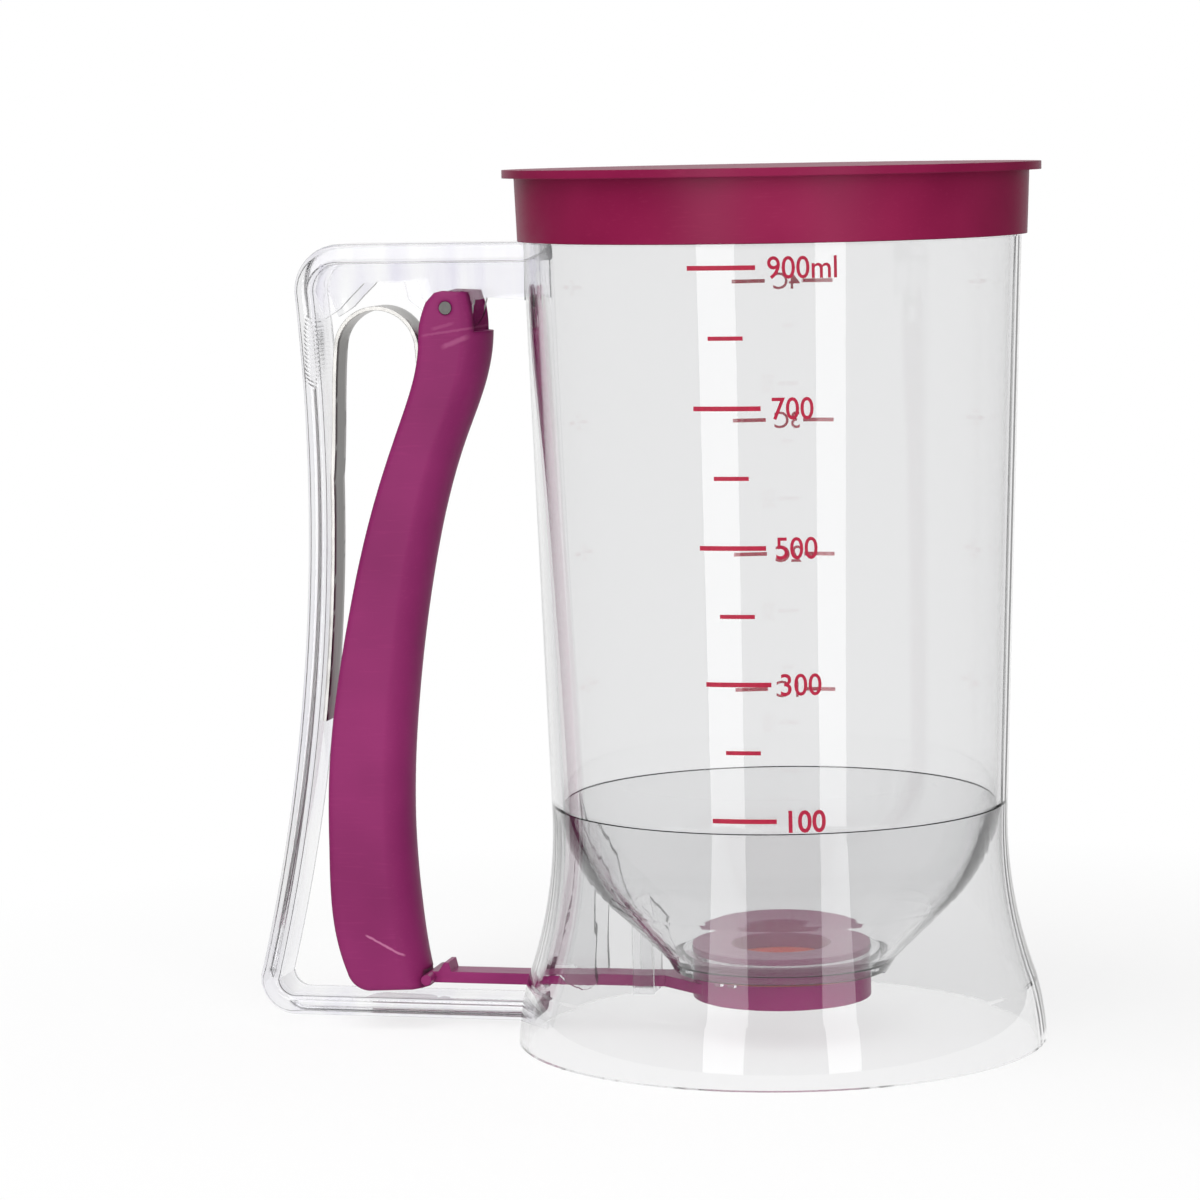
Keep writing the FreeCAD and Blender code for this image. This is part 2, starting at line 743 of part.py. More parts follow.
def build_trigger():
    width = number("trigger_width")
    depth = number("trigger_depth")
    play = number("rod_play")
    head_top = number("pivot_z") + number("head_rise")
    back, back_low, back_top = trigger_curve(BACK_EDGE, 0.0)
    front, front_top, front_low = trigger_curve(FRONT_EDGE, 0.0)
    head = [FreeCAD.Vector(x * depth - number("pivot_x"), 0, head_top - drop * depth)
            for x, drop in HEAD_CORNERS]
    toe_up, toe = [foot_corner(item) for item in TOE_CORNERS]
    heel, heel_mid = [foot_corner(item) for item in HEEL_CORNERS]
    outline = [back_top] + head + [front_top]
    edges = [back] + [Part.makeLine(a, b) for a, b in zip(outline, outline[1:])]
    edges += [front, Part.makeLine(front_low, toe_up), Part.makeLine(toe_up, toe),
              Part.makeLine(toe, heel), Part.Arc(heel, heel_mid, back_low).toShape()]
    round_r = min(number("trigger_round"), number("trigger_wall") * 0.6)
    body = rounded(bar_wall(edges, width), round_r, long_side_edge(width))
    body = body.cut(crown_cutter(0.0, width / 2 + play))
    rod_low = number("rod_low_z") - play
    rod_high = number("rod_low_z") + number("rod_thick") + play
    face = number("trigger_face")
    inner, inner_top, inner_low = trigger_curve(FRONT_EDGE, -face)
    behind = -number("handle_low_x")
    floor_z = rod_high + number("rod_roof")
    roof_z = head_top + number("head_rise")
    corners = [inner_low, FreeCAD.Vector(inner_low.x, 0, floor_z), FreeCAD.Vector(behind, 0, floor_z),
               FreeCAD.Vector(behind, 0, roof_z), FreeCAD.Vector(inner_top.x, 0, roof_z), inner_top]
    inside = [inner] + [Part.makeLine(a, b) for a, b in zip(corners, corners[1:])]
    half = width / 2 - number("trigger_wall")
    hollow = bar_wall(inside, half * 2).cut(crown_cutter(-face, half + play))
    reach = number("notch_x") - number("pivot_x") + number("trim_over")
    over = width + 2 * play
    notch = Part.makeBox(reach, over, rod_high - rod_low,
                         FreeCAD.Vector(-number("notch_x"), -over / 2, rod_low))
    slot_half = number("web_gap") + number("web_thick") + play / 2
    slot_z = number("pivot_z") - number("head_slot")
    slot = Part.makeBox(number("trim_over"), slot_half * 2, roof_z - slot_z,
                        FreeCAD.Vector(-number("pivot_x"), -slot_half, slot_z))
    lever = body.cut(hollow).cut(notch).cut(slot).cut(pin_bore())
    keep(solid_feature("trigger_lever", lever), "trigger_lever")


# Valve rod: a flat bar with a wedge near its outer end and a crossbar that sits in the trigger.
def build_rod():
    half = size("rod_width") * 0.5
    low = size("rod_low_z")
    high = low + size("rod_thick")
    bar = block("rod_bar", (-size("trunnion_x"), -half, low), (-size("rod_inner_x"), half, high))
    sink = high - size("wedge_sink")
    peak = high + size("wedge_rise")
    wedge = plate("rod_wedge", [
        (-size("wedge_x"), sink), (-size("wedge_x") + size("wedge_length"), sink),
        (-size("wedge_x") + size("wedge_length") * 0.8, peak),
        (-size("wedge_x") + size("wedge_length") * 0.5, peak)], size("rod_width"))
    middle = low + size("rod_thick") * 0.5
    bar_end = rod_along("rod_crossbar", "y", size("trunnion_r"), size("trunnion_length"),
                        (-size("trunnion_x"), Dim(0.0, "0"), middle))
    keep(fused("valve_rod", bar, wedge, bar_end), "valve_rod")


# Valve paddle: a thick disc with the batter's hole, and the fan that joins it to the rod.
def build_paddle():
    low = size("rod_low_z")
    middle = low + size("rod_thick") * 0.5
    half = size("rod_width") * 0.5
    height = size("disc_top_z") - size("disc_low_z")
    centre_z = (size("disc_top_z") + size("disc_low_z")) * 0.5
    nought = Dim(0.0, "0")
    disc = rod_along("paddle_disc", "z", size("disc_r"), height, (nought, nought, centre_z))
    fan = plate("paddle_fan", [
        (-size("rod_inner_x"), -half), (-size("fan_join_x"), -size("fan_half")),
        (-size("fan_join_x"), size("fan_half")), (-size("rod_inner_x"), half)],
        size("rod_thick"), middle, "XY_Plane")
    hole = rod_along("paddle_hole", "z", size("disc_hole_r"), height + size("hole_over") * 2,
                     (nought, nought, centre_z))
    keep(cut("valve_paddle", fused("paddle_blank", disc, fan), hole), "valve_paddle")


# Rod guides: two ribs between the skirt and the bowl, and a clip that carries the rod.
# A rib's lower edge, in steps outwards from its inner end and up from its lowest point.
RIB_EDGE = [(2.53, 1.0), (2.0, 0.44), (0.91, 0.0), (0.28, 0.16), (0.0, 0.5)]


def build_guides():
    outer = -number("flare_r") + number("skirt_wall") - number("rib_bury")
    inner = -number("rib_inner_x")
    dip = number("rib_dip_z")
    waist = number("waist_z")
    step = number("rib_step")
    lower = [(inner - out * step, dip + rise * step) for out, rise in RIB_EDGE]
    points = [(outer, lower[0][1])] + lower + [(inner, waist), (outer, waist)]
    corners = [FreeCAD.Vector(x, 0, z) for x, z in points]
    shell = doc.getObject("base_skirt_shell").Shape
    bowl = doc.getObject("funnel_bowl").Shape
    thick = number("rib_thick")
    for label, side in (("rod_guide_near", -1), ("rod_guide_far", 1)):
        rib = Part.Face(Part.makePolygon(corners + corners[:1]))
        rib.translate(FreeCAD.Vector(0, side * (number("rib_gap") + thick / 2) - thick / 2, 0))
        rib = rib.extrude(FreeCAD.Vector(0, thick, 0)).cut(shell).cut(bowl)
        keep(solid_feature(label, max(rib.Solids, key=lambda lump: lump.Volume)), label)
    wall = number("clip_wall")
    clip_low = number("rod_low_z") - number("part_gap") - wall
    half = number("rod_width") / 2 + number("part_gap")
    length = number("clip_length")
    tall = number("cone_top_z") - clip_low
    start = -number("clip_x") - length / 2
    full = Part.makeBox(length, 2 * (half + wall), tall, FreeCAD.Vector(start, -half - wall, clip_low))
    gap = Part.makeBox(length + 2 * wall, 2 * half, tall,
                       FreeCAD.Vector(start - wall, -half, clip_low + wall))
    cone_rise = number("cone_top_z") - number("collar_top_z")
    cone = Part.makeCone(number("cone_top_r") - cone_rise, number("cone_top_r"), cone_rise,
                         FreeCAD.Vector(0, 0, number("collar_top_z")))
    clip = full.cut(gap).cut(cone)
    lowest = min(clip.Solids, key=lambda lump: lump.BoundBox.ZMin)
    keep(solid_feature("rod_clip", lowest), "rod_clip")


# Return spring: one flat strip, up the handle's back, over an arch and down inside the trigger.
def spring_route():
    """Points along the strip's middle, from the foot of its long leg to the tip of its short one."""
    seat = number("spring_thick") / 2 + number("spring_seat")
    ax, az, ar = -number("arch_x"), number("arch_z"), number("arch_r")
    low, touch = number("spring_low_z"), number("spring_touch_z")
    route = []
    for step in range(5):
        z = low + (touch - low) * step / 4
        route.append((handle_inner_x(z) + seat, z))
    for angle in range(180, -1, -30):
        turn = math.radians(angle)
        route.append((ax + ar * math.cos(turn), az + ar * math.sin(turn)))
    tip_x, tip_z = -number("pivot_x") - number("leg_tip_gap"), number("leg_tip_z")
    for step in (1, 2, 3):
        route.append((ax + ar + (tip_x - ax - ar) * step / 3, az + (tip_z - az) * step / 3))
    return route


def build_spring():
    half = number("spring_thick") / 2
    route = spring_route()
    sides = {1: [], -1: []}
    for i, (x, z) in enumerate(route):
        ahead = route[min(i + 1, len(route) - 1)]
        behind = route[max(i - 1, 0)]
        dx, dz = ahead[0] - behind[0], ahead[1] - behind[1]
        length = math.hypot(dx, dz)
        for side in sides:
            across = side * half / length
            sides[side].append(FreeCAD.Vector(x - across * dz, 0, z + across * dx))
    curves = {}
    for side, places in sides.items():
        curves[side] = Part.BSplineCurve()
        curves[side].interpolate(places)
    edges = [curves[1].toShape(), Part.makeLine(sides[1][-1], sides[-1][-1]),
             curves[-1].toShape(), Part.makeLine(sides[-1][0], sides[1][0])]
    keep(solid_feature("return_spring", bar_wall(edges, number("spring_width"))), "return_spring")


def handle_inner_x(z):
    """The inner face of the handle's back at a height."""
    start, middle, finish = handle_back_curve(number("bar_thick"))
    circle = Part.Arc(start, middle, finish).toShape().Curve
    centre, radius = circle.Center, circle.Radius
    return centre.x + math.sqrt(radius ** 2 - (z - centre.z) ** 2)


build_lid()
build_jug_wall()
build_bowl()
build_skirt()
build_collar()
build_outlet()
build_handle()
build_webs()
build_pin()
build_trigger()
build_rod()
build_paddle()
build_guides()
build_spring()
doc.recompute()

for item in doc.Objects:
    if "Invalid" in item.State or "Error" in item.State:
        raise RuntimeError("%s is in state %s" % (item.Label, item.State))
for item in parts:
    shape = item.Shape
    if shape.isNull() or not shape.isValid() or not shape.Solids:
        raise RuntimeError("bad shape: " + item.Label)

os.makedirs("parts", exist_ok=True)
for item in parts:
    item.Shape.exportStep(os.path.join("parts", item.Label + ".step"))
    box = item.Shape.BoundBox
    print("%-18s solids %d volume %9.1f  x %.1f..%.1f y %.1f..%.1f z %.1f..%.1f" % (
        item.Label, len(item.Shape.Solids), item.Shape.Volume, box.XMin, box.XMax, box.YMin, box.YMax,
        box.ZMin, box.ZMax))
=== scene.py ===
import math

import bmesh
import bpy
from bpy.props import FloatProperty, FloatVectorProperty, PointerProperty
from bpy.types import Operator, Panel, PropertyGroup
from mathutils import Matrix, Vector, noise


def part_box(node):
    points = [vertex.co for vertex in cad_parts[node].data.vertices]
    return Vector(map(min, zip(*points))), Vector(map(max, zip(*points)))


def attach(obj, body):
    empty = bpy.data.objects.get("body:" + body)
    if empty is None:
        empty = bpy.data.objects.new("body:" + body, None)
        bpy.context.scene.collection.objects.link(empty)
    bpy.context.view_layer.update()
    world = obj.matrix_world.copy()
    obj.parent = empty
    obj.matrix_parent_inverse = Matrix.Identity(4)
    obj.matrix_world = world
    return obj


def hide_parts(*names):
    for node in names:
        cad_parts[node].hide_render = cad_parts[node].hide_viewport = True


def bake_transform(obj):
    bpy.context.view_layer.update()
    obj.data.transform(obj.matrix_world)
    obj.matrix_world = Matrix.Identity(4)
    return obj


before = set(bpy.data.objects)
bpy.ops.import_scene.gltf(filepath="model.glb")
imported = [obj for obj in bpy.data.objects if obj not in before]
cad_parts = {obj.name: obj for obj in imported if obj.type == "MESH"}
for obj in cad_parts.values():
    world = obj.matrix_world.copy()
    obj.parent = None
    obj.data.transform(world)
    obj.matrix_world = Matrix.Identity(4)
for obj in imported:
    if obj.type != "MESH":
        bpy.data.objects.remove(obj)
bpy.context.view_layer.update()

bl_info = {
    "name": "Batter Dispenser",
    "version": (1, 0, 0),
    "blender": (4, 5, 0),
    "location": "View3D > Sidebar > Dispenser",
    "description": ("Dresses a clear batter dispenser with its lid, trigger, valve"
                    " and printed scale"),
    "category": "Object",
}

MM = 0.001
AXIS_TURN = math.radians(12.87)

# The handle's closed loop, to the outer faces of its bar.
LOOP_TOP_Z, LOOP_LOW_Z = 169.8 * MM, 2.6 * MM
LOOP_TOP_X, LOOP_HEEL_X = -102.8 * MM, -114.4 * MM
LOOP_CORNER, LOOP_HEEL = 10.0 * MM, 8.0 * MM
LOOP_BOW = 6.5 * MM
LOOP_WIDE, LOOP_ROUND = 14.0 * MM, 1.2 * MM
JUG_END_X, SKIRT_END_X = -52.2 * MM, -55.6 * MM
# How far made pieces stay off the faces that they meet.
CLEARANCE = 0.02 * MM
# How much the skirt's radius shrinks per unit of height at its foot.
SKIRT_SLOPE = 0.162

# The webs: thin plates either side of the trigger's head, with an ear round the pin.
WEB_MID_Y, WEB_HALF = 5.4 * MM, 0.7 * MM
PIN_X, PIN_Z, EAR_R = -69.0 * MM, 156.1 * MM, 5.4 * MM
WEB_OVER_ARCH = ((-96.2, 153.9), (-94.4, 155.0), (-92.8, 156.0), (-90.5, 158.4), (-88.5, 160.3),
                 (-87.4, 161.4), (-78.4, 161.6), (-77.5, 157.8), (-75.2, 156.0))
WEB_TO_JUG = ((-63.2, 157.6), (-59.5, 158.2), (-52.1, 157.5))

# The return spring: a strip up the handle's inner face, over an arch and down to its tip.
STRIP_THICK, STRIP_WIDE, STRIP_CHAMFER = 0.9 * MM, 8.4 * MM, 0.12 * MM
STRIP_SEAT = 0.66 * MM
STRIP_LOW_Z, STRIP_LEAVE_Z = 66.2 * MM, 119.5 * MM
ARCH_X, ARCH_Z, ARCH_R = -85.5 * MM, 147.0 * MM, 9.0 * MM
TIP_X, TIP_Z = -73.75 * MM, 121.2 * MM

# The printed scales: amounts with the heights of their bars, in millimetres.
FRONT_ROWS = ((900, 165.3), (700, 137.3), (500, 109.3), (300, 81.7), (100, 53.8))
FRONT_TICKS = ((151.3, 0.125), (123.3, 0.375), (95.5, 0.63), (67.8, 0.875))
BACK_ROWS = ((4, 159.1), (3, 128.3), (2, 98.5), (1, 68.3))
FINE_BAR = 0.88

# The stage: a lamp's degrees round from the camera, height, distance, width, height and watts.
FLOOR_R = 0.28
LAMPS = (("softbox_left", -25.5, 0.35, 1.25, 0.40, 1.9, 8.6),
         ("softbox_right", 26.0, 0.35, 1.25, 0.32, 1.9, 6.8),
         ("softbox_top", -40.0, 1.15, 0.45, 0.9, 0.9, 6.5))
CAMERA_TURN = math.radians(10.5)
CAMERA_FAR, CAMERA_HIGH = 0.9039, 0.1922
CAMERA_PITCH, CAMERA_ROLL = math.radians(6.198), math.radians(-1.053)


# ---------------------------------------------------------------- settings


class DispenserSizes(PropertyGroup):
    tick_thick: FloatProperty(
        name="Tick thickness", description="Height of one printed tick on the wall",
        default=0.95 * MM, unit="LENGTH")
    digit_high: FloatProperty(
        name="Digit height", description="Type size of the printed millilitre numbers",
        default=6.3 * MM, unit="LENGTH")
    ink_proud: FloatProperty(
        name="Ink thickness", description="How far the printed ink stands off the wall",
        default=0.04 * MM, unit="LENGTH")
    bar_thick: FloatProperty(
        name="Handle thickness", description="Thickness of the handle's flat bar",
        default=4.2 * MM, unit="LENGTH")
    strip_rag: FloatProperty(
        name="Strip raggedness", description="How rough the sheared edges of the spring strip are",
        default=0.12 * MM, unit="LENGTH")


class DispenserColours(PropertyGroup):
    lid: FloatVectorProperty(
        name="Lid", description="Colour of the lid's plastic", subtype="COLOR",
        size=3, min=0, max=1, default=(0.225, 0.0050, 0.052))
    trigger: FloatVectorProperty(
        name="Trigger", description="Colour of the trigger and valve plastic", subtype="COLOR",
        size=3, min=0, max=1, default=(0.225, 0.0150, 0.108))
    # Painted light: the seal colour is a bright red standing in for light from below glowing
    # through the purple outlet.
    seal: FloatVectorProperty(
        name="Seal", description="Colour of the silicone seal", subtype="COLOR",
        size=3, min=0, max=1, default=(0.62, 0.05, 0.03))
    ink: FloatVectorProperty(
        name="Ink", description="Colour of the printed scale", subtype="COLOR",
        size=3, min=0, max=1, default=(0.52, 0.010, 0.060))
    clear: FloatVectorProperty(
        name="Clear plastic", description="Faint tint of the clear moulding", subtype="COLOR",
        size=3, min=0, max=1, default=(0.908, 0.909, 0.912))
    steel: FloatVectorProperty(
        name="Steel", description="Colour of the spring strip and pin", subtype="COLOR",
        size=3, min=0, max=1, default=(0.56, 0.55, 0.53))


def sizes():
    return bpy.context.scene.dispenser_sizes


def colours():
    return bpy.context.scene.dispenser_colours


def tint(colour):
    """A colour with full cover, as a shader socket takes it."""
    return (colour[0], colour[1], colour[2], 1.0)


# ---------------------------------------------------------------- shader arithmetic


class Value:
    """A shader socket that takes part in plain arithmetic."""

    def __init__(self, surface, socket):
        self.surface = surface
        self.socket = socket

    def _sum(self, operation, first, second):
        return self.surface.node("ShaderNodeMath", {"operation": operation}, {0: first, 1: second})

    def __add__(self, other):
        return self._sum("ADD", self, other)

    def __radd__(self, other):
        return self._sum("ADD", other, self)

    def __sub__(self, other):
        return self._sum("SUBTRACT", self, other)

    def __rsub__(self, other):
        return self._sum("SUBTRACT", other, self)

    def __mul__(self, other):
        return self._sum("MULTIPLY", self, other)


class Surface:
    """A node tree for one finish, with a single way of adding nodes."""

    def __init__(self, tree):
        self.tree = tree
        tree.nodes.clear()

    def node(self, kind, settings=None, sockets=None, out=0):
        """Add a node, with its settings and its sockets by name or number; gives one output."""
        made = self.tree.nodes.new(kind)
        for key, value in (settings or {}).items():
            setattr(made, key, value)
        for key, value in (sockets or {}).items():
            if isinstance(value, Value):
                self.tree.links.new(value.socket, made.inputs[key])
            else:
                made.inputs[key].default_value = value
        return Value(self, made.outputs[out]) if made.outputs else None

    def ray(self, kind):
        return self.node("ShaderNodeLightPath", out=kind)

    def place(self):
        return self.node("ShaderNodeTexCoord", out="Object")

    def stretched(self, scale):
        return self.node("ShaderNodeVectorMath", {"operation": "MULTIPLY"},
                         {0: self.place(), 1: scale}, out="Vector")

    def grain(self, scale, detail=3.0, rough=0.5, where=None):
        """Noise from 0 to 1 whose scale is in cells per metre."""
        return self.node("ShaderNodeTexNoise", {"noise_dimensions": "3D"},
                         {"Vector": where or self.place(), "Scale": scale, "Detail": detail,
                          "Roughness": rough})

    def band(self, value, low, high):
        """Value stretched so that low becomes 0 and high becomes 1, held at both ends."""
        return self.node("ShaderNodeMapRange", {"clamp": True},
                         {"Value": value, "From Min": low, "From Max": high})

    def blend(self, factor, first, second):
        return self.node("ShaderNodeMix", {"data_type": "RGBA"},
                         {0: factor, 6: first, 7: second}, out=2)

    def bump(self, height, distance, strength=1.0, onto=None):
        sockets = {"Height": height, "Distance": distance, "Strength": strength}
        if onto:
            sockets["Normal"] = onto
        return self.node("ShaderNodeBump", None, sockets)

    def stroke(self, x0, z0, x1, z1, wide, ragged=0.0):
        """1 along a line in the XZ plane between two points in metres, fading to 0 at its width."""
        run = math.hypot(x1 - x0, z1 - z0)
        cos, sin = (x1 - x0) / run, (z1 - z0) / run
        x, z = (self.node("ShaderNodeSeparateXYZ", None, {0: self.place()}, out=axis) - start
                for axis, start in (("X", x0), ("Z", z0)))
        along = x * cos + z * sin
        across = z * cos - x * sin
        if ragged:
            across = across + (self.grain(900.0) - 0.5) * ragged
        off = self.node("ShaderNodeMath", {"operation": "ABSOLUTE"}, {0: across})
        side = self.band(off, wide, wide * 0.35)
        return side * self.band(along, 0.0, wide * 2) * self.band(along, run, run - wide * 2)

    def soft_edges(self, radius):
        return self.node("ShaderNodeBevel", {"samples": 8}, {"Radius": radius})


def finish(name):
    material = bpy.data.materials.get(name)
    if material:
        return material, None
    material = bpy.data.materials.new(name)
    material.use_nodes = True
    return material, Surface(material.node_tree)


def close_up(surface, sockets):
    """Make the shader from its sockets and put it on the surface."""
    shader = surface.node("ShaderNodeBsdfPrincipled", None, sockets)
    surface.node("ShaderNodeOutputMaterial", None, {"Surface": shader})


def satin_plastic(name, colour, gloss, texture=0.00001, edge=0.00035, marks=()):
    """Moulded plastic: fine sparked texture, flow shading, faint handling scratches."""
    material, s = finish(name)
    if s is None:
        return material
    cloud = s.grain(38.0, 2.0)
    fine = s.grain(2600.0, 2.0)
    scratch = s.band(s.grain(160.0, 2.0, 0.4, s.stretched((1.0, 9.0, 14.0))), 0.60, 0.72)
    deep = tuple(c * 0.86 for c in colour)
    light = tuple(min(1.0, c * 1.10 + 0.004) for c in colour)
    base = s.blend(s.band(cloud, 0.3, 0.7), tint(deep), tint(light))
    base = s.blend(scratch * 0.10, base, tint(tuple(min(1.0, c * 1.5 + 0.03) for c in colour)))
    rough = gloss + (cloud - 0.5) * 0.10 + (fine - 0.5) * 0.06 + scratch * 0.08
    normal = s.bump(fine, texture, 0.9, s.soft_edges(edge))
    for x0, z0, x1, z1, wide, pale in marks:
        mark = s.stroke(x0 * MM, z0 * MM, x1 * MM, z1 * MM, wide * MM, 0.0004)
        base = s.blend(mark * pale, base, tint(tuple(min(1.0, c * 1.6 + 0.16) for c in colour)))
        rough = rough + mark * 0.18
    close_up(s, {"Base Color": base, "Roughness": rough, "Normal": normal, "IOR": 1.49,
                 "Specular IOR Level": 0.17})
    return material


def clear_plastic(name="clear_moulding", haze_and_shade=0.0):
    """Clear moulded plastic: a polished wall with slight ripple and hairline wear. Given a haze, it
    is rougher, has a hatch, and carries painted grey-lavender shade streaks in its colour.
    """
    material, s = finish(name)
    if s is None:
        return material
    wear = s.band(s.grain(90.0, 3.0, 0.5, s.stretched((1.0, 1.0, 0.25))), 0.55, 0.85)
    hair = s.band(s.grain(300.0, 1.0, 0.4, s.stretched((6.0, 6.0, 0.35))), 0.66, 0.74)
    ripple = s.grain(16.0, 1.0, 0.3, s.stretched((1.0, 1.0, 0.5)))
    rough = 0.015 + wear * 0.03 + hair * 0.05 + haze_and_shade
    shade = s.ray("Is Shadow Ray")
    normal = s.bump(ripple, 0.0009, 0.5)
    base = tint(colours().clear)
    if haze_and_shade:
        # Painted shade: broad grey-lavender streaks mixed into the colour stand in for the soft
        # shading of the clear handle.
        cloud = s.band(s.grain(60.0, 2.0, 0.5, s.stretched((3.0, 1.0, 0.3))), 0.40, 0.68)
        base = s.blend(cloud, base, (0.80, 0.79, 0.85, 1.0))
        hatch = s.stroke(-98.7 * MM, 138.8 * MM, -98.7 * MM, 154.9 * MM, 1.9 * MM)
        lines = s.node("ShaderNodeMath", {"operation": "PINGPONG"},
                       {0: s.node("ShaderNodeVectorMath", {"operation": "DOT_PRODUCT"},
                                  {0: s.place(), 1: (0.5, 0, 1)}, out="Value"), 1: 0.45 * MM})
        normal = s.bump(hatch * lines, 0.5, 1.0, normal)
        rough = rough + hatch * 0.12
    close_up(s, {"Base Color": base, "Roughness": rough, "Normal": normal,
                 "IOR": 1.49, "Transmission Weight": 1.0, "Alpha": 1 - shade * 0.88})
    return material


def steel(name, along, shade=1.0, dull=0.0):
    """Rolled steel strip or drawn pin, with streaks along its length."""
    material, s = finish(name)
    if s is None:
        return material
    streak = s.grain(900.0, 2.0, 0.6, s.stretched(along))
    stain = s.grain(70.0, 3.0)
    dark, light = (tuple(c * shade * k for c in colours().steel) for k in (0.70, 1.0))
    base = s.blend(s.band(streak * 0.6 + stain * 0.4, 0.35, 0.65), tint(dark), tint(light))
    rough = 0.26 + dull + streak * 0.16 + (stain - 0.5) * 0.10
    normal = s.bump(streak, 0.00002, 0.6, s.soft_edges(0.0001))
    close_up(s, {"Base Color": base, "Metallic": 1.0, "Roughness": rough, "Normal": normal})
    return material


def silicone():
    """A soft seal with a little dust. Its bright red is painted light, standing in for light from
    below glowing through the purple outlet.
    """
    material, s = finish("seal_painted_red_glow")
    if s is None:
        return material
    dust = s.grain(420.0, 3.0)
    # Painted light: the seal colour is the red glow of light from below through the purple outlet;
    # the paler spots are dust.
    base = s.blend(s.band(dust, 0.4, 0.8) * 0.25, tint(colours().seal),
                   tint(tuple(min(1.0, c * 1.3 + 0.02) for c in colours().seal)))
    close_up(s, {"Base Color": base, "Roughness": 0.42 + dust * 0.16,
                 "Normal": s.bump(s.grain(1800.0), 0.00001, 0.8, s.soft_edges(0.0002)),
                 "Subsurface Weight": 0.05, "IOR": 1.41})
    return material


def ink():
    """Printed ink that lets some light through from behind."""
    material, s = finish("scale_ink")
    if s is None:
        return material
    mottle = s.grain(1500.0, 3.0, 0.6)
    base = s.blend(s.band(mottle, 0.35, 0.8), tint(colours().ink),
                   tint(tuple(min(1.0, c * 1.35 + 0.01) for c in colours().ink)))
    face = s.node("ShaderNodeBsdfPrincipled", None, {
        "Base Color": base, "Roughness": 0.36 + mottle * 0.15,
        "Normal": s.bump(mottle, 0.000006, 0.7)})
    through = s.node("ShaderNodeBsdfTranslucent", None, {"Color": (0.62, 0.03, 0.09, 1.0)})
    mix = s.node("ShaderNodeMixShader", None, {0: 0.45, 1: face, 2: through})
    s.node("ShaderNodeOutputMaterial", None, {"Surface": mix})
    return material


# ---------------------------------------------------------------- mesh helpers


def new_piece(name, verts, faces, smooth=True):
    mesh = bpy.data.meshes.new(name)
    mesh.from_pydata([tuple(v) for v in verts], [], faces)
    mesh.update()
    piece = bpy.data.objects.new(name, mesh)
    bpy.context.scene.collection.objects.link(piece)
    if smooth:
        mesh.shade_smooth()
    return piece


def joined_mesh(name, meshes):
    """One piece from several (verts, faces) lists."""
    verts = []
    faces = []
    for more_verts, more_faces in meshes:
        start = len(verts)
        verts.extend(more_verts)
        faces.extend([tuple(i + start for i in face) for face in more_faces])
    return new_piece(name, verts, faces, smooth=False)


def coat(piece, material):
    piece.data.materials.clear()
    piece.data.materials.append(material)


def wall_radius(z):
    """The jug's outer radius at a height in metres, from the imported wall's own box."""
    low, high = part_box("jug_wall")
    waist, mouth = 48.4 * MM, high.x
    shoulder = 169.7 * MM
    share = (z - low.z) / (shoulder - low.z)
    return waist + (mouth - waist) * share


def onto_wall(u, z, lift, back=False):
    """A point printed on the wall: u runs round it from the front line, seen from outside."""
    radius = wall_radius(z)
    turn = u / radius
    out = radius + lift
    if back:
        return Vector((-out * math.sin(turn), out * math.cos(turn), z))
    return Vector((out * math.sin(turn), -out * math.cos(turn), z))


def printed_bar(u0, u1, z, thick, lift, back=False, steps=12):
    """A thin raised bar of ink round the wall."""
    verts = []
    for i in range(steps + 1):
        u = u0 + (u1 - u0) * i / steps
        for dz in (-0.5, 0.5):
            for out in (0.005 * MM, lift):
                verts.append(onto_wall(u, z + dz * thick, out, back))
    faces = []
    for i in range(steps):
        a, b = i * 4, i * 4 + 4
        faces.append((a + 1, b + 1, b + 3, a + 3))
        faces.append((a + 2, b + 2, b, a))
        faces.append((a, b, b + 1, a + 1))
        faces.append((a + 3, b + 3, b + 2, a + 2))
    faces.append((0, 1, 3, 2))
    last = steps * 4
    faces.append((last + 2, last + 3, last + 1, last))
    return verts, faces


def printed_word(word, u, z, high, weight, lift, back=False, narrow=1.0):
    """A word of ink bent round the wall, its lower left corner at u and z."""
    curve = bpy.data.curves.new("type", "FONT")
    curve.body = word
    curve.size = high
    curve.extrude = 0.5
    curve.offset = weight
    curve.resolution_u = 4
    carrier = bpy.data.objects.new("type", curve)
    bpy.context.scene.collection.objects.link(carrier)
    bpy.context.view_layer.update()
    graph = bpy.context.evaluated_depsgraph_get()
    mesh = bpy.data.meshes.new_from_object(carrier.evaluated_get(graph))
    verts = []
    for vert in mesh.vertices:
        out = lift if vert.co.z > 0 else 0.005 * MM
        verts.append(onto_wall(u + vert.co.x * narrow, z + vert.co.y, out, back))
    faces = [tuple(face.vertices) for face in mesh.polygons]
    bpy.data.objects.remove(carrier)
    bpy.data.curves.remove(curve)
    bpy.data.meshes.remove(mesh)
    return verts, faces


def sweep_arc(cx, cz, radius, start, finish, steps):
    """Points of an arc in the XZ plane, angles in degrees from +X towards +Z."""
    turns = [math.radians(start + (finish - start) * i / steps) for i in range(steps + 1)]
    return [(cx + radius * math.cos(a), cz + radius * math.sin(a)) for a in turns]


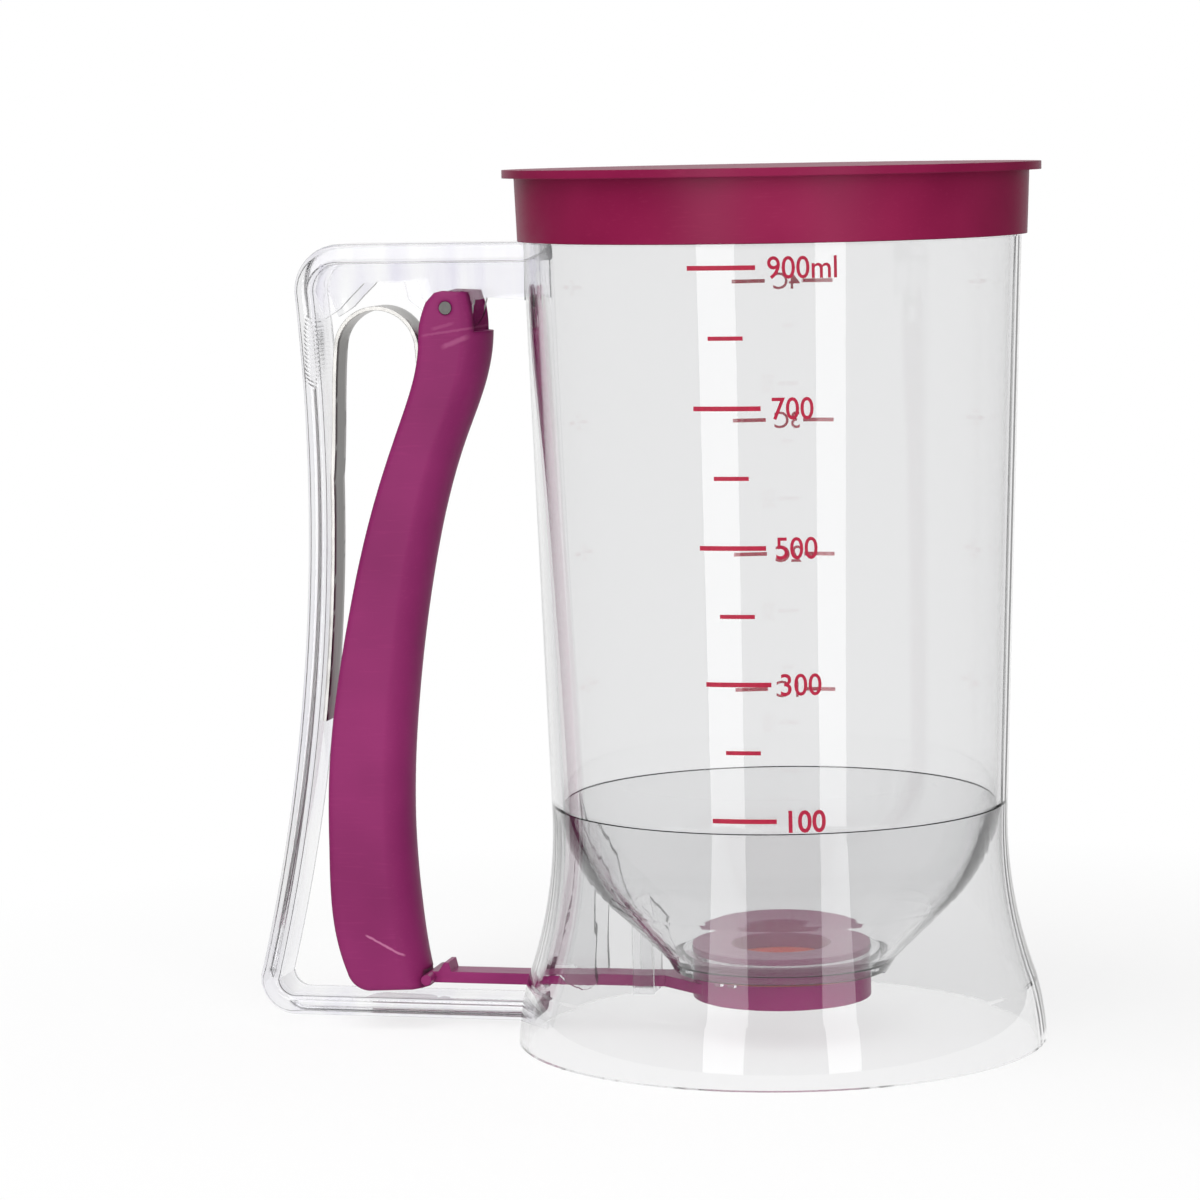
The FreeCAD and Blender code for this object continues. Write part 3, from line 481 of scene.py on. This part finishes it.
def bowed_arc(x0, z0, x1, z1, bow, steps):
    """Points of an arc through two ends whose middle lies off the chord by the bow."""
    chord = Vector((x1 - x0, z1 - z0))
    radius = (chord.length / 2) ** 2 / (2 * abs(bow)) + abs(bow) / 2
    square = Vector((-chord.y, chord.x)).normalized() * (1 if bow > 0 else -1)
    centre = Vector(((x0 + x1) / 2, (z0 + z1) / 2)) + square * (abs(bow) - radius)
    first = Vector((x0, z0)) - centre
    sweep = 2 * math.asin(chord.length / 2 / radius) * (-1 if bow > 0 else 1)
    places = []
    for i in range(steps + 1):
        turn = sweep * i / steps
        cos, sin = math.cos(turn), math.sin(turn)
        places.append((centre.x + first.x * cos - first.y * sin,
                       centre.y + first.x * sin + first.y * cos))
    return places


def rounded_section(wide, thick, corner, steps=4):
    """A rounded rectangle's points as (across Y, off the path), anticlockwise."""
    points = []
    for sy, so, start in ((1, 1, 0), (-1, 1, 90), (-1, -1, 180), (1, -1, 270)):
        for i in range(steps + 1):
            turn = math.radians(start + 90.0 * i / steps)
            points.append((sy * (wide / 2 - corner) + corner * math.cos(turn),
                           so * (thick / 2 - corner) + corner * math.sin(turn)))
    return points


def swept(path, section, fit_end=None):
    """A closed bar: the section carried along a path in the XZ plane, with both ends capped."""
    verts = []
    count = len(section)
    last = len(path) - 1
    for i, (x, z) in enumerate(path):
        before, after = path[max(i - 1, 0)], path[min(i + 1, last)]
        ahead = Vector((after[0] - before[0], after[1] - before[1])).normalized()
        for y, off in section:
            point = Vector((x - ahead.y * off, y, z + ahead.x * off))
            if fit_end and i in (0, last):
                point = fit_end(point, i == 0)
            verts.append(point)
    faces = []
    for i in range(last):
        for k in range(count):
            a, b = i * count + k, i * count + (k + 1) % count
            faces.append((a, b, b + count, a + count))
    faces.append(tuple(range(count)))
    faces.append(tuple(reversed(range(last * count, (last + 1) * count))))
    return verts, faces


def slab(outline, y0, y1):
    """A flat plate between two Y values with an outline in the XZ plane."""
    count = len(outline)
    verts = [(x, y0, z) for x, z in outline] + [(x, y1, z) for x, z in outline]
    faces = [tuple(range(count)), tuple(reversed(range(count, 2 * count)))]
    for k in range(count):
        faces.append((k, k + count, (k + 1) % count + count, (k + 1) % count))
    return verts, faces


def outward(piece):
    """Turn every face of a closed mesh outwards and smooth all but its sharp edges."""
    mesh = piece.data
    work = bmesh.new()
    work.from_mesh(mesh)
    bmesh.ops.recalc_face_normals(work, faces=work.faces)
    for edge in work.edges:
        edge.smooth = edge.calc_face_angle(0.0) < math.radians(32)
    for face in work.faces:
        face.smooth = True
    work.to_mesh(mesh)
    work.free()
    mesh.update()


# ---------------------------------------------------------------- operators


class DISPENSER_OT_lid(Operator):
    """Finish the push-on lid and its plug"""
    bl_idname = "dispenser.lid"
    bl_label = "Lid"

    def execute(self, context):
        plastic = satin_plastic("lid_satin", tuple(colours().lid), 0.40)
        for name in ("lid_cap", "lid_plug"):
            coat(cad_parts[name], plastic)
        return {"FINISHED"}


class DISPENSER_OT_clear(Operator):
    """Finish the clear jug, funnel, skirt, collar, rod guides and rod clip"""
    bl_idname = "dispenser.clear"
    bl_label = "Clear mouldings"

    def execute(self, context):
        plastic = clear_plastic()
        for name in ("jug_wall", "funnel_bowl", "base_skirt", "outlet_collar", "rod_guide_near",
                     "rod_guide_far", "rod_clip"):
            coat(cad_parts[name], plastic)
        return {"FINISHED"}


class DISPENSER_OT_handle(Operator):
    """Make the handle's closed loop and the two webs that carry the pin"""
    bl_idname = "dispenser.handle"
    bl_label = "Handle"

    def execute(self, context):
        bar = sizes().bar_thick
        half = bar / 2
        section = rounded_section(LOOP_WIDE, bar, LOOP_ROUND)
        top_turn, heel_turn = LOOP_TOP_X + LOOP_CORNER, LOOP_HEEL_X + LOOP_HEEL
        path = [(JUG_END_X + (top_turn - JUG_END_X) * i / 10, LOOP_TOP_Z - half)
                for i in range(10)]
        path += sweep_arc(top_turn, LOOP_TOP_Z - LOOP_CORNER, LOOP_CORNER - half, 90, 180, 10)[:-1]
        path += bowed_arc(LOOP_TOP_X + half, LOOP_TOP_Z - LOOP_CORNER, LOOP_HEEL_X + half,
                          LOOP_LOW_Z + LOOP_HEEL, LOOP_BOW, 40)[:-1]
        path += sweep_arc(heel_turn, LOOP_LOW_Z + LOOP_HEEL, LOOP_HEEL - half, 180, 270, 10)
        path += [(heel_turn + (SKIRT_END_X - heel_turn) * i / 12, LOOP_LOW_Z + half)
                 for i in range(1, 13)]
        frame_bar = swept(path, section, self.meet)
        under = LOOP_TOP_Z - bar - 0.03 * MM
        ear = sweep_arc(PIN_X, PIN_Z, EAR_R, 190, 360, 14)
        outline = [(x * MM, z * MM) for x, z in WEB_OVER_ARCH]
        outline += ear + [(x * MM, z * MM) for x, z in WEB_TO_JUG]
        outline += [(-52.1 * MM, under), (-96.9 * MM, under), (-98.3 * MM, 159.8 * MM)]
        webs = [slab(outline, y - WEB_HALF, y + WEB_HALF) for y in (-WEB_MID_Y, WEB_MID_Y)]
        piece = joined_mesh("handle_frame", [frame_bar] + webs)
        outward(piece)
        # The handle's finish carries painted grey-lavender shade streaks in its colour.
        coat(piece, clear_plastic("clear_handle", 0.05))
        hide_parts("handle_top_arm", "handle_back", "handle_bottom_arm", "handle_web_near",
                    "handle_web_far")
        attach(piece, "root")
        return {"FINISHED"}

    def meet(self, point, at_top):
        """Move an end's point onto the jug's or the skirt's outer face."""
        if at_top:
            radius = wall_radius(point.z)
        else:
            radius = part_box("base_skirt")[1].x - SKIRT_SLOPE * point.z
        point.x = -math.sqrt(radius ** 2 - point.y ** 2) - CLEARANCE
        return point


class DISPENSER_OT_scale(Operator):
    """Print the millilitre scale on the front and the cup scale on the back"""
    bl_idname = "dispenser.scale"
    bl_label = "Printed scales"

    def execute(self, context):
        s = sizes()
        lift = s.ink_proud
        front = []
        top = FRONT_ROWS[0][1]
        for amount, z in FRONT_ROWS:
            share = (top - z) / 111.5
            left = (-7.7 + 2.9 * share) * MM
            right = (6.2 + 2.1 * share) * MM
            z = z * MM
            front.append(printed_bar(left, right, z, s.tick_thick, lift))
            word = "900ml" if amount == 900 else str(amount)
            bold = (0.12 if amount == 100 else 0.05) * MM
            front.append(printed_word(word, right + (2.2 - 0.9 * share) * MM, z - 2.2 * MM,
                                      s.digit_high, bold, lift, narrow=0.92))
        thin = s.tick_thick * FINE_BAR
        for z, share in FRONT_TICKS:
            left = (-4.0 + 2.6 * share) * MM
            front.append(printed_bar(left, left + 7.1 * MM, z * MM, thin, lift))
        piece = joined_mesh("scale_marks", front)
        coat(piece, ink())
        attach(piece, "root")
        back = []
        for cups, z in BACK_ROWS:
            z = z * MM
            word = "%dC" % cups
            back.append(printed_bar(-4.4 * MM, 2.7 * MM, z, thin, lift, True))
            back.append(printed_word(word, 3.2 * MM, z - 1.8 * MM, 5.2 * MM, 0.04 * MM, lift, True))
            back.append(printed_bar(11.2 * MM, 18.8 * MM, z, thin, lift, True))
        piece = joined_mesh("cup_marks", back)
        coat(piece, ink())
        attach(piece, "root")
        return {"FINISHED"}


class DISPENSER_OT_valve(Operator):
    """Finish the outlet ring, its seal, the paddle and the rod"""
    bl_idname = "dispenser.valve"
    bl_label = "Outlet and valve"

    def execute(self, context):
        plastic = satin_plastic("valve_gloss", tuple(colours().trigger), 0.30)
        for name in ("outlet_ring", "valve_paddle", "valve_rod"):
            coat(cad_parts[name], plastic)
        # The seal's red finish is painted light, standing in for light from below glowing through
        # the purple outlet.
        coat(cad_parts["outlet_seal"], silicone())
        return {"FINISHED"}


class DISPENSER_OT_trigger(Operator):
    """Finish the trigger lever and its pin"""
    bl_idname = "dispenser.trigger"
    bl_label = "Trigger"

    def execute(self, context):
        scuffs = ((-90.0, 20.9, -81.2, 16.3, 0.30, 0.75), (-70.3, 147.6, -63.8, 150.2, 0.7, 0.28),
                  (-72.4, 151.5, -66.9, 153.0, 0.5, 0.16), (-74.6, 150.2, -60.0, 152.3, 0.35, 0.20),
                  (-91.5, 100.0, -85.0, 126.0, 0.25, 0.18))
        coat(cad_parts["trigger_lever"],
             satin_plastic("trigger_satin", tuple(colours().trigger), 0.44, edge=0.0016,
                           marks=scuffs))
        coat(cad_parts["trigger_pin"], steel("pin_steel", (1.0, 0.15, 1.0), 0.42, 0.26))
        return {"FINISHED"}


class DISPENSER_OT_spring(Operator):
    """Make the flat return spring, bent between the handle and the trigger"""
    bl_idname = "dispenser.spring"
    bl_label = "Return spring"

    def execute(self, context):
        bar = sizes().bar_thick
        inner = bowed_arc(LOOP_TOP_X + bar, LOOP_TOP_Z - LOOP_CORNER, LOOP_HEEL_X + bar,
                          LOOP_LOW_Z + LOOP_HEEL, LOOP_BOW, 160)
        leg = [(x + STRIP_SEAT, z) for x, z in inner if STRIP_LOW_Z < z < STRIP_LEAVE_Z]
        leg.reverse()
        arch = sweep_arc(ARCH_X, ARCH_Z, ARCH_R, 176, 4, 36)
        rise = self.eased(leg[-1], (0.1, 1.0), arch[0], (0.1, 1.0), 22)
        fall = self.eased(arch[-1], (0.06, -1.0), (TIP_X, TIP_Z), (0.10, -1.0), 24)
        path = leg + rise[1:-1] + arch + fall[1:]
        side, flat = STRIP_WIDE / 2, STRIP_THICK / 2
        section = [(side, STRIP_THICK * 0.42), (side - STRIP_CHAMFER, flat)]
        section += [(STRIP_WIDE * k / 10, flat) for k in (3, 1, -1, -3)]
        section += [(STRIP_CHAMFER - side, flat), (-side, STRIP_THICK * 0.42)]
        section += [(y, -off) for y, off in reversed(section)]
        verts, faces = swept(path, section)
        rag = sizes().strip_rag
        for i, vert in enumerate(verts):
            if abs(vert.y) > STRIP_WIDE * 0.45:
                slip = noise.noise(Vector((vert.x * 900, i % 2, vert.z * 900)))
                vert.y -= math.copysign(rag * (0.5 + 0.5 * slip), vert.y)
        piece = joined_mesh("spring_strip", [(verts, faces)])
        outward(piece)
        coat(piece, steel("strip_steel", (1.0, 1.0, 0.06)))
        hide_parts("return_spring")
        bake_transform(piece)
        return {"FINISHED"}

    def eased(self, start, leave, finish, arrive, steps):
        """Points of a smooth bend between two places with their directions."""
        p0, p1 = Vector(start), Vector(finish)
        pull = (p1 - p0).length
        m0, m1 = Vector(leave) * pull, Vector(arrive) * pull
        places = []
        for i in range(steps + 1):
            t = i / steps
            ease = 3 * t ** 2 - 2 * t ** 3
            spot = (p0 * (1 - ease) + p1 * ease + m0 * (t ** 3 - 2 * t ** 2 + t)
                    + m1 * (t ** 3 - t ** 2))
            places.append((spot.x, spot.y))
        return places


class DISPENSER_OT_stage(Operator):
    """Lay the pale floor and set the lamps, the world and the camera"""
    bl_idname = "dispenser.stage"
    bl_label = "Stage"

    def execute(self, context):
        turns = [math.tau * i / 96 for i in range(96)]
        ring = [(FLOOR_R * math.cos(turn), FLOOR_R * math.sin(turn), 0) for turn in turns]
        floor = new_piece("floor", ring, [tuple(range(96))], smooth=False)
        material, s = finish("floor_white")
        seen = s.ray("Is Camera Ray") + s.ray("Is Glossy Ray")
        seen = s.band(seen + s.ray("Is Transmission Ray"), 0.0, 1.0)
        reach = s.node("ShaderNodeVectorMath", {"operation": "LENGTH"}, {0: s.place()}, out="Value")
        share = 0.72 + s.band(reach, 0.10, 0.26) * 0.28
        paper = s.node("ShaderNodeBsdfDiffuse", None, {"Color": (0.96, 0.96, 0.96, 1)})
        glow = s.node("ShaderNodeEmission", None, {"Color": (1, 1, 1, 1), "Strength": 1.0})
        mix = s.node("ShaderNodeMixShader", None, {0: seen * share, 1: paper, 2: glow})
        s.node("ShaderNodeOutputMaterial", None, {"Surface": mix})
        coat(floor, material)

        world = bpy.data.worlds.new("studio")
        context.scene.world = world
        world.use_nodes = True
        s = Surface(world.node_tree)
        seen = s.band(s.ray("Is Camera Ray") + s.ray("Is Transmission Ray"), 0.0, 1.0)
        glossy = s.ray("Is Glossy Ray")
        back = (-math.sin(AXIS_TURN), math.cos(AXIS_TURN), 0)
        towards = s.node("ShaderNodeTexCoord", out="Generated")
        facing = s.node("ShaderNodeVectorMath", {"operation": "DOT_PRODUCT"}, {0: towards, 1: back},
                        out="Value")
        backdrop = 0.10 + s.band(facing, 0.78, 0.94) * 0.90
        level = seen + (1 - seen) * (glossy * backdrop + (1 - glossy) * 0.40)
        sky = s.node("ShaderNodeBackground", None, {"Color": (1, 1, 1, 1), "Strength": level})
        s.node("ShaderNodeOutputWorld", None, {"Surface": sky})

        for lamp in LAMPS:
            self.lamp(*lamp)
        self.camera(context)
        return {"FINISHED"}

    def lamp(self, name, turn, height, distance, wide, high, power):
        """An area lamp at an angle round from the camera, aimed at the jug's middle."""
        look = CAMERA_TURN + math.radians(turn)
        place = Vector((distance * math.sin(look), -distance * math.cos(look), height))
        data = bpy.data.lights.new(name, "AREA")
        data.shape = "RECTANGLE"
        data.size = wide
        data.size_y = high
        data.energy = power
        lamp = bpy.data.objects.new(name, data)
        bpy.context.scene.collection.objects.link(lamp)
        lamp.location = place
        lamp.rotation_euler = (Vector((0, 0, 0.1)) - place).to_track_quat("-Z", "Y").to_euler()
        lamp.visible_camera = False
        lamp.visible_transmission = False

    def camera(self, context):
        """The camera of the photograph: where it stands, its turn, pitch, roll and lens."""
        pitch, roll, place = CAMERA_PITCH, CAMERA_ROLL, CAMERA_TURN
        level = Vector((-math.sin(AXIS_TURN), math.cos(AXIS_TURN), 0))
        right = Vector((math.cos(AXIS_TURN), math.sin(AXIS_TURN), 0))
        ahead = math.cos(pitch) * level - math.sin(pitch) * Vector((0, 0, 1))
        up = math.sin(pitch) * level + math.cos(pitch) * Vector((0, 0, 1))
        across = math.cos(roll) * right + math.sin(roll) * up
        above = -math.sin(roll) * right + math.cos(roll) * up
        data = bpy.data.cameras.new("photo_camera")
        data.sensor_fit = "HORIZONTAL"
        data.sensor_width = 36.0
        data.lens = 36.0 * 4293.0 / 1200.0
        data.clip_start = 0.01
        data.clip_end = 50.0
        camera = bpy.data.objects.new("photo_camera", data)
        context.scene.collection.objects.link(camera)
        turn = Matrix((across, above, -ahead)).transposed().to_4x4()
        spot = Vector((CAMERA_FAR * math.sin(place), -CAMERA_FAR * math.cos(place),
                       CAMERA_HIGH))
        camera.matrix_world = Matrix.Translation(spot) @ turn
        context.scene.camera = camera
        context.scene.view_settings.view_transform = "Standard"


class DISPENSER_PT_panel(Panel):
    """Lists the dispenser's pieces"""
    bl_idname = "DISPENSER_PT_panel"
    bl_label = "Batter Dispenser"
    bl_space_type = "VIEW_3D"
    bl_region_type = "UI"
    bl_category = "Dispenser"

    def draw(self, context):
        for operator in OPERATORS:
            self.layout.operator(operator.bl_idname)


OPERATORS = (DISPENSER_OT_lid, DISPENSER_OT_clear, DISPENSER_OT_handle, DISPENSER_OT_scale,
             DISPENSER_OT_valve, DISPENSER_OT_trigger, DISPENSER_OT_spring, DISPENSER_OT_stage)
CLASSES = (DispenserSizes, DispenserColours) + OPERATORS + (DISPENSER_PT_panel,)


def register():
    for cls in CLASSES:
        bpy.utils.register_class(cls)
    bpy.types.Scene.dispenser_sizes = PointerProperty(type=DispenserSizes)
    bpy.types.Scene.dispenser_colours = PointerProperty(type=DispenserColours)


def unregister():
    del bpy.types.Scene.dispenser_colours
    del bpy.types.Scene.dispenser_sizes
    for cls in reversed(CLASSES):
        bpy.utils.unregister_class(cls)


def main():
    register()
    bpy.ops.dispenser.lid()
    bpy.ops.dispenser.clear()
    bpy.ops.dispenser.handle()
    bpy.ops.dispenser.scale()
    bpy.ops.dispenser.valve()
    bpy.ops.dispenser.trigger()
    bpy.ops.dispenser.spring()
    bpy.ops.dispenser.stage()


if __name__ == "__main__":
    main()
